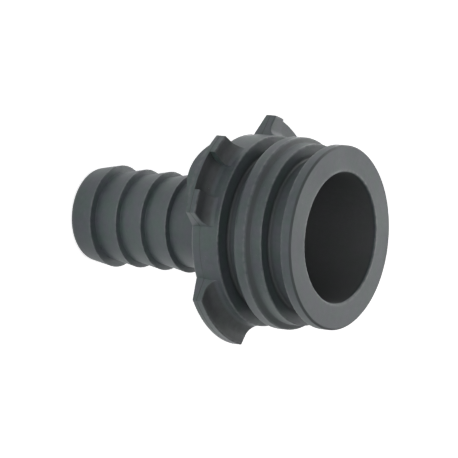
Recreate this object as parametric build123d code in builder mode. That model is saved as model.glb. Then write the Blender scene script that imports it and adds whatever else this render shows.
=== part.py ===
from build123d import *
import os
from math import cos, radians, sin

# A moulded hose tail that stands on its tail end: barbed tail, neck, body with bayonet lugs and, at the
# top, a spigot with two ring grooves. Millimetres and degrees. +Z is the bore's axis, towards the spigot.

# Lengths along the axis, from the tail end up
tip_length = 8.4             # tail end to the first crest
barb_pitch = 8.3             # crest to crest
barb_count = 4
barb_step_run = 0.35         # lean of the step behind each crest
neck_length = 16.8           # last crest to the body's rear face
body_length = 8.9
rear_groove_width = 4.6
ridge_rear_land = 3.8        # the ridge's larger land
ridge_step_run = 1.2         # lean of the step between the ridge's two lands
ridge_front_land = 3.2       # the ridge's smaller land
front_groove_width = 6.2
collar_length = 3.25

# Bores and walls
tail_bore_radius = 9.0
tail_wall = 3.1              # round the tail's bore, at the neck and the roots of the barbs
front_bore_radius = 17.65
front_wall = 3.15            # round the front bore, at the floor of the front groove
cone_offset = 0.95           # body's rear face to the start of the cone between the two bores
cone_length = 6.0

# Heights above the tail's wall
tip_height = 0.55            # where the tip's cone would meet the tail end
first_barb_height = 2.1
barb_height = 1.57

# Heights above the floor of the front groove
collar_height = 4.1
ridge_front_height = 3.8
ridge_rear_height = 5.3
rear_groove_height = 0.5
body_height = 5.15

# Roundings of the outside
tip_rounding = 2.6
crest_rounding = 0.15
root_rounding = 0.1
neck_rounding = 2.5          # hollow corner between the neck and the body's rear face
body_rear_rounding = 0.8
groove_rounding = 0.6        # hollow corners of the ring grooves
edge_rounding = 0.3          # outer edges of the body, ridge and collar
ridge_rear_rounding = 1.4
step_rounding = 0.5          # hollow corner below the ridge's step
face_chamfer = 0.5           # rim of the front face
mouth_rounding = 0.4         # mouth of the front bore

# Lugs, measured from the body and round the axis from +X
lug_reach = 5.65             # body to a lug's rim
lug_offset = 0.5             # body's rear face to the foot of the lugs' rear faces
lug_rear_rise = 1.2          # the rear faces are cones, and this much further forward at the rim
parting_offset = 3.0         # body's rear face to the plane where the two halves of the mould meet
lug_front_thickness = 1.7    # the share of a lug that the front half of the mould gives
lug_flank_angle = 26.0       # lean of a lug's ends from the radius
lug_embed = 1.5              # how far a lug's flank runs on inside the body
lug_rim_rounding = 0.35      # front edge of a lug's rim
lug_flank_rounding = 0.35    # front edges of a lug's ends
lug_root_rounding = 3.0      # wide hollow between a lug's front face and the body
lug_root_sink = 0.03         # the hollow runs out this far below the body's surface
lug_root_spare = 0.3         # height left above the hollow's end
lug_sweep = 44.8             # of a lug's rim
lug_middles = [59.5, 149.5, 239.5, 329.5]

# Sweep of the notch in the front half of each lug. The last lug, the key, has none
notch_sweeps = [21.5, 30.0, 21.5, 0.0]

# Tongue behind each notch: a round end that stands below the body
tongue_reach = 0.7           # how far the tongue stands below the body's rear face
tongue_end_radius = 15.0
parting_step = 0.15          # the rear half of the mould leaves the body this much smaller

# Heights that follow from the lengths
crest_heights = [tip_length + k * barb_pitch for k in range(barb_count)]
body_rear = crest_heights[-1] + neck_length
lug_rear = body_rear + lug_offset
parting_height = body_rear + parting_offset
lug_front = parting_height + lug_front_thickness
lug_top = lug_front + lug_root_rounding + lug_root_spare
body_front = body_rear + body_length
ridge_rear = body_front + rear_groove_width
ridge_step = ridge_rear + ridge_rear_land
ridge_front_start = ridge_step + ridge_step_run
ridge_front = ridge_front_start + ridge_front_land
collar_rear = ridge_front + front_groove_width
front_face = collar_rear + collar_length
cone_rear = body_rear + cone_offset
cone_front = cone_rear + cone_length

# Radii that follow from the bores, walls and heights
neck_radius = tail_bore_radius + tail_wall
tip_radius = neck_radius + tip_height
first_crest_radius = neck_radius + first_barb_height
crest_radius = neck_radius + barb_height
front_groove_radius = front_bore_radius + front_wall
rear_groove_radius = front_groove_radius + rear_groove_height
collar_radius = front_groove_radius + collar_height
ridge_front_radius = front_groove_radius + ridge_front_height
ridge_rear_radius = front_groove_radius + ridge_rear_height
body_radius = front_groove_radius + body_height
lug_radius = body_radius + lug_reach

# Outside profile as corners: radius, height, rounding
outside = [(0, 0, 0), (tip_radius, 0, tip_rounding)]
for number, height in enumerate(crest_heights):
    crest = first_crest_radius if number == 0 else crest_radius
    outside.append((crest, height, crest_rounding))
    outside.append((neck_radius, height + barb_step_run, root_rounding))
outside += [
    (neck_radius, body_rear, neck_rounding),
    (body_radius - parting_step, body_rear, body_rear_rounding),
    (body_radius - parting_step, parting_height, 0),
    (body_radius, parting_height, 0),
    (body_radius, body_front, edge_rounding),
    (rear_groove_radius, body_front, groove_rounding),
    (rear_groove_radius, ridge_rear, groove_rounding),
    (ridge_rear_radius, ridge_rear, ridge_rear_rounding),
    (ridge_rear_radius, ridge_step, edge_rounding),
    (ridge_front_radius, ridge_front_start, step_rounding),
    (ridge_front_radius, ridge_front, edge_rounding),
    (front_groove_radius, ridge_front, groove_rounding),
    (front_groove_radius, collar_rear, groove_rounding),
    (collar_radius, collar_rear, edge_rounding),
    (collar_radius, front_face - face_chamfer, 0),
    (collar_radius - face_chamfer, front_face, 0),
    (0, front_face, 0),
]


def points_of(profile):
    """Radius and height of every corner of a profile."""
    return [(radius, height) for radius, height, _ in profile]


def roundings_of(profile):
    """Rounding of every corner of a profile."""
    return [rounding for _, _, rounding in profile]


# Bore profile, cut through both ends: radius, height
bore_overrun = 1.0
bore = [
    (0, -bore_overrun),
    (tail_bore_radius, -bore_overrun),
    (tail_bore_radius, cone_rear),
    (front_bore_radius, cone_front),
    (front_bore_radius, front_face + bore_overrun),
    (0, front_face + bore_overrun),
]

# Lugs seen along the axis, and their notches
flank_length = (lug_radius - body_radius + lug_embed) / cos(radians(lug_flank_angle))
embed_radius = body_radius - lug_embed
notch_overrun = 1.0          # how far the notch's cutter reaches past the rim

notched_lugs = {middle: sweep for middle, sweep in zip(lug_middles, notch_sweeps) if sweep > 0}

with BuildSketch() as lug_plan:
    for middle in lug_middles:
        with BuildLine():
            rim = CenterArc((0, 0), lug_radius, middle - lug_sweep / 2, lug_sweep)
            start_flank = PolarLine(rim @ 0, flank_length, middle - lug_sweep / 2 + 180 + lug_flank_angle)
            end_flank = PolarLine(rim @ 1, flank_length, middle + lug_sweep / 2 + 180 - lug_flank_angle)
            Line(start_flank @ 1, end_flank @ 1)
        make_face()

with BuildSketch() as notch_plan:
    for middle, sweep in notched_lugs.items():
        with BuildLine():
            notch_floor = CenterArc((0, 0), embed_radius, middle - sweep / 2, sweep)
            notch_mouth = CenterArc((0, 0), lug_radius + notch_overrun, middle - sweep / 2, sweep)
            Line(notch_floor @ 0, notch_mouth @ 0)
            Line(notch_floor @ 1, notch_mouth @ 1)
        make_face()

# Lugs cut through along the axis, from the rear cone to the hollow in front: radius, height, rounding
root_radius = body_radius - lug_root_sink
lug_profile = [
    (embed_radius, lug_rear - lug_rear_rise * lug_embed / lug_reach, 0),
    (lug_radius, lug_rear + lug_rear_rise, 0),
    (lug_radius, lug_front, lug_rim_rounding),
    (root_radius, lug_front, lug_root_rounding),
    (root_radius, lug_top, 0),
    (embed_radius, lug_top, 0),
]

# The notch's cutter: its floor is the parting plane, and runs up to the body in the same hollow
notch_profile = [
    (lug_radius + notch_overrun, parting_height, 0),
    (root_radius, parting_height, lug_root_rounding),
    (root_radius, lug_top + notch_overrun, 0),
    (lug_radius + notch_overrun, lug_top + notch_overrun, 0),
]

same_place = 0.01            # two measures closer than this are one


def is_flank_edge(edge):
    """True for an edge of a lug's front face that runs from the hollow out to the rim."""
    flat = all(abs(vertex.Z - lug_front) < same_place for vertex in edge.vertices())
    return flat and edge.geom_type == GeomType.LINE


with BuildPart() as notches:
    with BuildSketch(Plane.XY.offset(parting_height)):
        add(notch_plan.sketch)
    extrude(amount=lug_top + notch_overrun - parting_height)
    with BuildSketch(Plane.XZ):
        with BuildLine():
            FilletPolyline(*points_of(notch_profile), radius=roundings_of(notch_profile), close=True)
        make_face()
    revolve(axis=Axis.Z, mode=Mode.INTERSECT)

with BuildPart() as lugs:
    with BuildSketch(Plane.XY.offset(body_rear)):
        add(lug_plan.sketch)
    extrude(amount=lug_top - body_rear)
    with BuildSketch(Plane.XZ):
        with BuildLine():
            FilletPolyline(*points_of(lug_profile), radius=roundings_of(lug_profile), close=True)
        make_face()
    revolve(axis=Axis.Z, mode=Mode.INTERSECT)
    fillet(lugs.edges().filter_by(is_flank_edge), radius=lug_flank_rounding)
    add(notches.part, mode=Mode.SUBTRACT)

# Tongues: each round end points to the tail, and the outside is the lugs' rim
tongue_end = body_rear - tongue_reach
tongue_planes = [
    Plane(
        origin=(0, 0, tongue_end + tongue_end_radius),
        x_dir=(-sin(radians(middle)), cos(radians(middle)), 0),
        z_dir=(cos(radians(middle)), sin(radians(middle)), 0),
    )
    for middle in notched_lugs
]

with BuildPart() as tongues:
    with BuildSketch(*tongue_planes):
        Circle(tongue_end_radius)
    extrude(amount=lug_radius + notch_overrun)
    with BuildSketch(Plane.XY.offset(tongue_end)):
        Circle(lug_radius)
        Circle(embed_radius, mode=Mode.SUBTRACT)
    extrude(amount=parting_height - tongue_end, mode=Mode.INTERSECT)

with BuildPart() as hose_tail:
    # Turned outside
    with BuildSketch(Plane.XZ):
        with BuildLine():
            FilletPolyline(*points_of(outside), radius=roundings_of(outside), close=True)
        make_face()
    revolve(axis=Axis.Z)

    add(lugs.part)
    add(tongues.part)

    # Bore
    with BuildSketch(Plane.XZ):
        with BuildLine():
            Polyline(*bore, close=True)
        make_face()
    revolve(axis=Axis.Z, mode=Mode.SUBTRACT)
    mouth = (
        hose_tail.faces()
        .sort_by(Axis.Z)[-1]
        .edges()
        .filter_by(GeomType.CIRCLE)
        .sort_by(lambda edge: edge.radius)[0]
    )
    fillet(mouth, radius=mouth_rounding)

hose_tail.part.label = "hose_tail"

os.makedirs("parts", exist_ok=True)
export_step(hose_tail.part, "parts/hose_tail.step")
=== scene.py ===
from math import cos, radians, sin

import bpy
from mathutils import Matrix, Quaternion, Vector

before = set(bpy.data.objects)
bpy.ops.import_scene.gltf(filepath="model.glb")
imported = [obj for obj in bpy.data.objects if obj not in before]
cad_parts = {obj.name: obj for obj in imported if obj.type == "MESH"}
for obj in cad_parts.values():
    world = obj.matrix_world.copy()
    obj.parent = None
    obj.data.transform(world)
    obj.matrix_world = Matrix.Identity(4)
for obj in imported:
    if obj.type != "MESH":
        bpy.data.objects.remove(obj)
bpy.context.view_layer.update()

print("hose tail loaded:", sorted(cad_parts))


# A socket in an expression: each operator adds its Math node
class Value:
    def __init__(self, nodes, node, socket):
        self.nodes = nodes
        self.node = node
        self.socket = socket

    def out(self, name):
        return Value(self.nodes, self.node, self.node.outputs[name])

    def maths(self, operation, first, second=0.0):
        return self.nodes.add("ShaderNodeMath", {"operation": operation}, {0: first, 1: second})

    def __add__(self, other):
        return self.maths("ADD", self, other)

    def __radd__(self, other):
        return self.maths("ADD", other, self)

    def __sub__(self, other):
        return self.maths("SUBTRACT", self, other)

    def __rsub__(self, other):
        return self.maths("SUBTRACT", other, self)

    def __mul__(self, other):
        return self.maths("MULTIPLY", self, other)

    def __rmul__(self, other):
        return self.maths("MULTIPLY", other, self)

    def __abs__(self):
        return self.maths("ABSOLUTE", self)

    def root(self):
        return self.maths("SQRT", self)

    def sine(self):
        return self.maths("SINE", self)

    # Angle from the axis of the other value
    def angle(self, other):
        return self.maths("ARCTAN2", self, other)

    def larger(self, other):
        return self.maths("MAXIMUM", self, other)

    # 0 below low, 1 above high, and a smooth rise between
    def rise(self, low, high):
        settings = {"interpolation_type": "SMOOTHSTEP"}
        return self.nodes.add("ShaderNodeMapRange", settings, {0: self, 1: low, 2: high, 3: 0.0, 4: 1.0})

    # 1 below low, 0 above high, and a smooth fall between
    def fall(self, low, high):
        return 1.0 - self.rise(low, high)


# The nodes of one material or of the world
class Nodes:
    def __init__(self, owner):
        owner.use_nodes = True
        self.tree = owner.node_tree
        self.tree.nodes.clear()

    def add(self, kind, settings={}, sockets={}):
        node = self.tree.nodes.new(kind)
        for name, setting in settings.items():
            setattr(node, name, setting)
        for name, value in sockets.items():
            if isinstance(value, Value):
                self.tree.links.new(value.socket, node.inputs[name])
            else:
                node.inputs[name].default_value = value
        return Value(self, node, next(iter(node.outputs), None))

    # Inputs 6 and 7 and output 2 are the colour ones
    def mixColour(self, share, first, second, blend="MIX"):
        settings = {"data_type": "RGBA", "blend_type": blend}
        return self.add("ShaderNodeMix", settings, {0: share, 6: first, 7: second}).out(2)

    def noise(self, place, scale, detail, roughness):
        sockets = {"Vector": place, "Scale": scale, "Detail": detail, "Roughness": roughness}
        return self.add("ShaderNodeTexNoise", {}, sockets).out("Fac")

    def bump(self, height, distance, strength, below=None):
        sockets = {"Height": height, "Distance": distance, "Strength": strength}
        if below is not None:
            sockets["Normal"] = below
        return self.add("ShaderNodeBump", {}, sockets)


# Camera: a long lens that looks down on the standing part, rolled so that the bore runs left to right
shot = {
    "aim": (0.0003, -0.0052, 0.04852),
    "distance": 1.05,
    "azimuth": -3.02,           # degrees from looking along +Y
    "elevation": 33.74,
    "roll": 95.67,
    "lens": 304.0,
    "sensor": 36.0,
    "farthest": 20.0,
}


def makeCamera(shot):
    azimuth, elevation = radians(shot["azimuth"]), radians(shot["elevation"])
    back = Vector((sin(azimuth) * cos(elevation), -cos(azimuth) * cos(elevation), sin(elevation)))
    lensData = bpy.data.cameras.new("shot")
    lensData.lens = shot["lens"]
    lensData.sensor_width = shot["sensor"]
    lensData.clip_end = shot["farthest"]
    camera = bpy.data.objects.new("shot", lensData)
    bpy.context.scene.collection.objects.link(camera)
    camera.location = Vector(shot["aim"]) + back * shot["distance"]
    camera.rotation_mode = "QUATERNION"
    roll = Quaternion((0, 0, 1), radians(shot["roll"]))
    camera.rotation_quaternion = (-back).to_track_quat("-Z", "Y") @ roll
    bpy.context.scene.camera = camera
    print("camera at", [round(x, 4) for x in camera.location])


makeCamera(shot)


# Studio: a pale floor, soft boxes all round and low lit plates, in a surround that is white where it
# is seen. Metres, watts and degrees: a box's angle goes round the part from +X, its height up from the floor
studio = {
    "white": (1.0, 1.0, 1.0, 1.0),
    "surround": 0.03,           # light from all round
    "floorSize": 6.0,
    "floorColour": (0.8, 0.8, 0.8, 1.0),
    "floorLift": 0.8,           # keeps the floor white round the shadow
    "aim": (0.0, 0.0, 0.045),
    "boxes": {
        "front": {"angle": 270, "height": 45, "distance": 0.8, "size": 0.4, "power": 1.38},
        "frontLow": {"angle": 270, "height": 14, "distance": 0.8, "size": 0.4, "power": 0.7},
        "frontNear": {"angle": 270, "height": 3, "distance": 0.25, "size": 0.05, "power": 0.078},
        "back": {"angle": 90, "height": 28, "distance": 0.8, "size": 0.4, "power": 1.2},
        "backLow": {"angle": 90, "height": 5, "distance": 0.8, "size": 0.14, "power": 1.2},
        "backLeft": {"angle": 135, "height": 45, "distance": 0.8, "size": 0.4, "power": 0.6},
        "backLeftLow": {"angle": 135, "height": 5, "distance": 0.8, "size": 0.14, "power": 2.1},
    },
    "plateLift": 0.001,         # the plates lie this far above the floor
    "plates": {
        "right": {"place": (0.1, 0.0), "size": 0.095, "power": 0.026},
        "left": {"place": (-0.1, 0.0), "size": 0.095, "power": 0.018},
        "behind": {"place": (0.0, 0.1), "size": 0.095, "power": 0.4},
        "beforeNear": {"place": (0.0, -0.05), "size": 0.055, "power": 0.0048},
        "before": {"place": (0.0, -0.1), "size": 0.095, "power": 0.0027},
    },
}


def makeLamp(name, place, towards, size, power):
    light = bpy.data.lights.new(name, "AREA")
    light.shape = "SQUARE"
    light.size = size
    light.energy = power
    lamp = bpy.data.objects.new(name, light)
    bpy.context.scene.collection.objects.link(lamp)
    lamp.location = place
    lamp.rotation_mode = "QUATERNION"
    lamp.rotation_quaternion = towards.to_track_quat("-Z", "Y")
    lamp.visible_camera = False


def makeSoftBox(name, aim, angle, height, distance, size, power):
    angle, height = radians(angle), radians(height)
    out = Vector((cos(angle) * cos(height), sin(angle) * cos(height), sin(height)))
    makeLamp(name, Vector(aim) + out * distance, -out, size, power)


# A plate lies on the floor and shines up
def makePlate(name, lift, place, size, power):
    makeLamp(name, (*place, lift), Vector((0, 0, 1)), size, power)


# 1 for the rays that show the surround itself: to the camera, in a reflection and through a clear piece
def seen(nodes):
    ray = nodes.add("ShaderNodeLightPath")
    return ray.out("Is Camera Ray").larger(ray.out("Is Glossy Ray")).larger(ray.out("Is Transmission Ray"))


def makeSurround(studio):
    world = bpy.data.worlds.new("surround")
    bpy.context.scene.world = world
    nodes = Nodes(world)
    light = studio["surround"] + seen(nodes) * (1.0 - studio["surround"])
    background = nodes.add("ShaderNodeBackground", {}, {"Color": studio["white"], "Strength": light})
    nodes.add("ShaderNodeOutputWorld", {}, {"Surface": background})


def makeFloor(studio):
    half = studio["floorSize"] / 2
    corners = [(-half, -half, 0), (half, -half, 0), (half, half, 0), (-half, half, 0)]
    mesh = bpy.data.meshes.new("floor")
    mesh.from_pydata(corners, [], [(0, 1, 2, 3)])
    floor = bpy.data.objects.new("floor", mesh)
    bpy.context.scene.collection.objects.link(floor)
    material = bpy.data.materials.new("floor")
    nodes = Nodes(material)
    diffuse = nodes.add("ShaderNodeBsdfDiffuse", {}, {"Color": studio["floorColour"]})
    lift = seen(nodes) * studio["floorLift"]
    glow = nodes.add("ShaderNodeEmission", {}, {"Color": studio["white"], "Strength": lift})
    surface = nodes.add("ShaderNodeAddShader", {}, {0: diffuse, 1: glow})
    nodes.add("ShaderNodeOutputMaterial", {}, {"Surface": surface})
    mesh.materials.append(material)


makeSurround(studio)
makeFloor(studio)
for name, box in studio["boxes"].items():
    makeSoftBox(name, studio["aim"], **box)
for name, plate in studio["plates"].items():
    makePlate(name, studio["plateLift"], **plate)
print("studio set:", len(studio["boxes"]), "soft boxes,", len(studio["plates"]), "plates")


# Moulded plastic, dark grey with a little green and blue. Lengths are in millimetres but for the bumps,
# and a pair of numbers is where a smooth change starts and ends
plastic = {
    "perMetre": 1000.0,
    "green": (0.0505, 0.078, 0.071, 1.0),
    "blue": (0.0665, 0.0725, 0.0885, 1.0),
    "rubbed": (0.125, 0.135, 0.142, 1.0),
    "shade": (0.027, 0.0265, 0.027, 1.0),       # painted shade in grooves, corners and on the lugs, and the dark parting line
    "dust": (0.2, 0.2, 0.19, 1.0),
    # Noises, each with a scale of one over its size
    "cloud": {"scale": 1 / 6.0, "detail": 2.0, "roughness": 0.55},
    "patches": {"scale": 1 / 2.4, "detail": 2.0, "roughness": 0.55},
    "mottle": {"scale": 1 / 1.6, "detail": 4.0, "roughness": 0.6},
    "grain": {"scale": 1 / 0.22, "detail": 2.0, "roughness": 0.55},
    "waves": {"scale": 0.07, "detail": 1.0, "roughness": 0.55},
    "tint": {"change": (0.34, 0.66), "cloud": 0.5, "patches": 0.5},
    "depth": {"least": 0.66, "mottle": 0.58, "grain": 0.1},
    # Streaks round the axis, as the turned mould and the hose leave them
    "streaks": {
        "round": 2.2,
        "across": 4.5,
        "noise": {"scale": 1.0, "detail": 4.0, "roughness": 0.65},
        "change": (0.56, 0.74),
        "amount": 0.35,
    },
    # Line where the two halves of the mould meet, on the body and the lugs
    "parting": {
        "height": 53.1,
        "width": (0.05, 0.17),
        "radius": (25.0, 25.5),
        "lean": (0.3, 0.6),     # it fades where the surface turns up or down
        "amount": 0.7,
    },
    # Painted shade in the two ring grooves: floor's radius, lowest and highest point, amount
    "grooves": {
        "floors": [(20.8, 71.8, 78.0, 0.05), (21.3, 59.0, 63.6, 0.04)],
        "ends": 0.2,            # fades over this much at each end of the floor
        "above": (0.5, 3.4),    # and this far above it
        "wall": (18.6, 19.2),   # keeps it off the bore
    },
    # Painted shade in corners: radius, height, reach
    "corners": {
        "places": [(24.65, 81.0, 0.55), (25.2, 68.2, 1.2), (21.0, 72.0, 1.5), (21.5, 59.2, 1.3)],
        "core": 0.3,            # share of the reach that is fully dirty
        "amount": 0.75,
    },
    # Painted shadow on the front faces of the lugs and in their hollows, on the -Y side
    "lugs": {
        "lean": (0.05, 0.5),
        "radius": (25.9, 26.6),
        "height": (57.0, 58.4),
        "side": (-8.0, 8.0),
        "amount": 0.95,
    },
    # Mottling of the painted shade
    "paintedShadeAndParting": {"least": 0.35, "mottle": 0.7},
    # Painted light: the wall of the bore is made paler, in the spigot and in the tail
    "paintedBoreLight": {
        "start": (50.6, 51.0),
        "end": (80.0, 80.8),
        "radius": (17.6, 17.9),
        "tailRadius": (9.2, 9.5),
        "amount": 0.55,
        "colour": (0.138, 0.133, 0.133, 1.0),
    },
    # Sharp edges that handling rubs pale: radius and height
    "wear": {
        "edges": [
            (14.2, 8.4), (13.67, 16.7), (13.67, 25.0), (13.67, 33.3),
            (25.8, 50.4), (25.95, 58.9), (26.1, 63.8), (26.1, 67.3), (24.6, 71.7),
            (24.9, 78.1), (18.0, 81.25), (31.6, 51.8), (31.5, 54.7),
        ],
        "reach": (0.12, 0.75),
        "patches": (0.34, 0.66),
        "amount": 0.55,
    },
    "specks": {"scale": 0.55, "size": (0.03, 0.075), "patches": (0.5, 0.6), "amount": 0.5},
    "roughness": {"least": 0.45, "mottle": 0.1, "cloud": 0.06, "wear": -0.12, "paintedShadeAndParting": 0.2, "streaks": 0.06},
    # Bumps: distance in metres, strength
    "bumps": {
        "waves": (0.0009, 0.35),
        "rings": (0.00001, 0.25),
        "grain": (0.00005, 0.5),
        "parting": (0.00008, 0.8),
    },
    "ringScale": 14.0,
    "grainMottle": 0.6,         # share of the mottling in the grain's bump
}


# Where a point of the surface lies and how far it faces up
class Spot:
    def __init__(self, nodes, perMetre):
        metres = nodes.add("ShaderNodeTexCoord").out("Object")
        sockets = {0: metres, "Scale": perMetre}
        self.place = nodes.add("ShaderNodeVectorMath", {"operation": "SCALE"}, sockets)
        split = nodes.add("ShaderNodeSeparateXYZ", {}, {0: self.place})
        x, self.side, self.height = split.out("X"), split.out("Y"), split.out("Z")
        self.radius = (x * x + self.side * self.side).root()
        self.turn = self.side.angle(x)
        facing = nodes.add("ShaderNodeNewGeometry").out("Normal")
        self.upright = nodes.add("ShaderNodeSeparateXYZ", {}, {0: facing}).out("Z")

    # Distance from a circle round the axis
    def fromCircle(self, radius, height):
        across = self.radius - radius
        along = self.height - height
        return (across * across + along * along).root()


def largest(values):
    result = values[0]
    for value in values[1:]:
        result = result.larger(value)
    return result


def findStreaks(nodes, spot, streaks):
    across = streaks["across"]
    sockets = {0: spot.turn * streaks["round"], 1: spot.height * across, 2: spot.radius * across}
    around = nodes.add("ShaderNodeCombineXYZ", {}, sockets)
    return nodes.noise(around, **streaks["noise"]).rise(*streaks["change"])


def findParting(spot, parting):
    line = abs(spot.height - parting["height"]).fall(*parting["width"])
    line = line * spot.radius.rise(*parting["radius"])
    return line * abs(spot.upright).fall(*parting["lean"])


# Painted shade on a groove's floor
def findGroove(spot, grooves, floor, low, high, amount):
    ends = grooves["ends"]
    near, far = grooves["above"]
    inside = spot.height.rise(low - ends, low + ends) * spot.height.fall(high - ends, high + ends)
    inside = inside * spot.radius.fall(floor + near, floor + far)
    return inside * spot.radius.rise(*grooves["wall"]) * amount


# Painted shade round a corner's circle
def findCorner(spot, corners, radius, height, reach):
    return spot.fromCircle(radius, height).fall(corners["core"] * reach, reach) * corners["amount"]


# Painted shadow on the lugs' upward faces next to the body, on the -Y side only
def findLugs(spot, lugs):
    faces = spot.upright.rise(*lugs["lean"]) * spot.radius.rise(*lugs["radius"])
    return faces * spot.height.fall(*lugs["height"]) * spot.side.fall(*lugs["side"]) * lugs["amount"]


# Painted shade in grooves, corners and on the lugs, mottled, with the real dark parting line over it
def findPaintedShadeAndParting(spot, mottle, parting, plastic):
    grooves, corners = plastic["grooves"], plastic["corners"]
    places = [findGroove(spot, grooves, *floor) for floor in grooves["floors"]]
    places += [findCorner(spot, corners, *corner) for corner in corners["places"]]
    places.append(findLugs(spot, plastic["lugs"]))
    patches = plastic["paintedShadeAndParting"]["least"] + mottle * plastic["paintedShadeAndParting"]["mottle"]
    return (largest(places) * patches).larger(parting * plastic["parting"]["amount"])


# Painted light on the bore walls of the spigot and the tail
def findPaintedBoreLight(spot, paintedBoreLight):
    spigot = spot.height.rise(*paintedBoreLight["start"]) * spot.height.fall(*paintedBoreLight["end"])
    spigot = spigot * spot.radius.fall(*paintedBoreLight["radius"])
    return spigot.larger(spot.radius.fall(*paintedBoreLight["tailRadius"]))


def findWear(spot, mottle, wear):
    edges = [spot.fromCircle(*edge).fall(*wear["reach"]) for edge in wear["edges"]]
    return largest(edges) * mottle.rise(*wear["patches"])


def findSpecks(nodes, spot, mottle, specks):
    cells = nodes.add("ShaderNodeTexVoronoi", {}, {"Vector": spot.place, "Scale": specks["scale"]})
    return cells.out("Distance").fall(*specks["size"]) * mottle.rise(*specks["patches"])


def makePlastic(plastic):
    material = bpy.data.materials.new("mouldedPlastic")
    nodes = Nodes(material)
    spot = Spot(nodes, plastic["perMetre"])
    cloud = nodes.noise(spot.place, **plastic["cloud"])
    patches = nodes.noise(spot.place, **plastic["patches"])
    mottle = nodes.noise(spot.place, **plastic["mottle"])
    grain = nodes.noise(spot.place, **plastic["grain"])
    waves = nodes.noise(spot.place, **plastic["waves"])
    streaks = findStreaks(nodes, spot, plastic["streaks"])
    parting = findParting(spot, plastic["parting"])
    paintedShadeAndParting = findPaintedShadeAndParting(spot, mottle, parting, plastic)
    paintedBoreLight = findPaintedBoreLight(spot, plastic["paintedBoreLight"])
    wear = findWear(spot, mottle, plastic["wear"])
    specks = findSpecks(nodes, spot, mottle, plastic["specks"])

    # Tint that drifts, and is deeper and paler in small spots
    tint = plastic["tint"]
    drift = cloud.rise(*tint["change"]) * tint["cloud"] + patches.rise(*tint["change"]) * tint["patches"]
    colour = nodes.mixColour(drift, plastic["green"], plastic["blue"])
    shares = plastic["depth"]
    depth = shares["least"] + mottle * shares["mottle"] + grain * shares["grain"]
    tone = nodes.add("ShaderNodeCombineColor", {}, {0: depth, 1: depth, 2: depth})
    colour = nodes.mixColour(1.0, colour, tone, "MULTIPLY")

    # Then streaks, painted shade with the dark parting line, painted light on the bore walls, rubbed edges
    # and dust, each over the last
    colour = nodes.mixColour(streaks * plastic["streaks"]["amount"], colour, plastic["rubbed"])
    # Painted shade, and the dark parting line
    colour = nodes.mixColour(paintedShadeAndParting, colour, plastic["shade"])
    # Painted light on the bore walls
    colour = nodes.mixColour(paintedBoreLight * plastic["paintedBoreLight"]["amount"], colour, plastic["paintedBoreLight"]["colour"])
    colour = nodes.mixColour(wear * plastic["wear"]["amount"], colour, plastic["rubbed"])
    colour = nodes.mixColour(specks * plastic["specks"]["amount"], colour, plastic["dust"])

    shares = plastic["roughness"]
    roughness = shares["least"] + mottle * shares["mottle"] + cloud * shares["cloud"] + wear * shares["wear"]
    roughness = roughness + paintedShadeAndParting * shares["paintedShadeAndParting"] + streaks * shares["streaks"]

    # Waves of the shrunk plastic, fine rings of the turned mould, grain and the parting line's lip
    bumps = plastic["bumps"]
    rings = ((spot.height + spot.radius) * plastic["ringScale"]).sine()
    normal = nodes.bump(waves, *bumps["waves"])
    normal = nodes.bump(rings, *bumps["rings"], normal)
    normal = nodes.bump(grain + mottle * plastic["grainMottle"], *bumps["grain"], normal)
    normal = nodes.bump(1.0 - parting, *bumps["parting"], normal)
    shader = nodes.add("ShaderNodeBsdfPrincipled", {}, {
        "Base Color": colour,
        "Roughness": roughness,
        "Normal": normal,
    })
    nodes.add("ShaderNodeOutputMaterial", {}, {"Surface": shader})
    return material


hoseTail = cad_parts["hose_tail"]
hoseTail.data.materials.clear()
hoseTail.data.materials.append(makePlastic(plastic))
print("hose tail painted")

bpy.context.scene.view_settings.view_transform = "Standard"
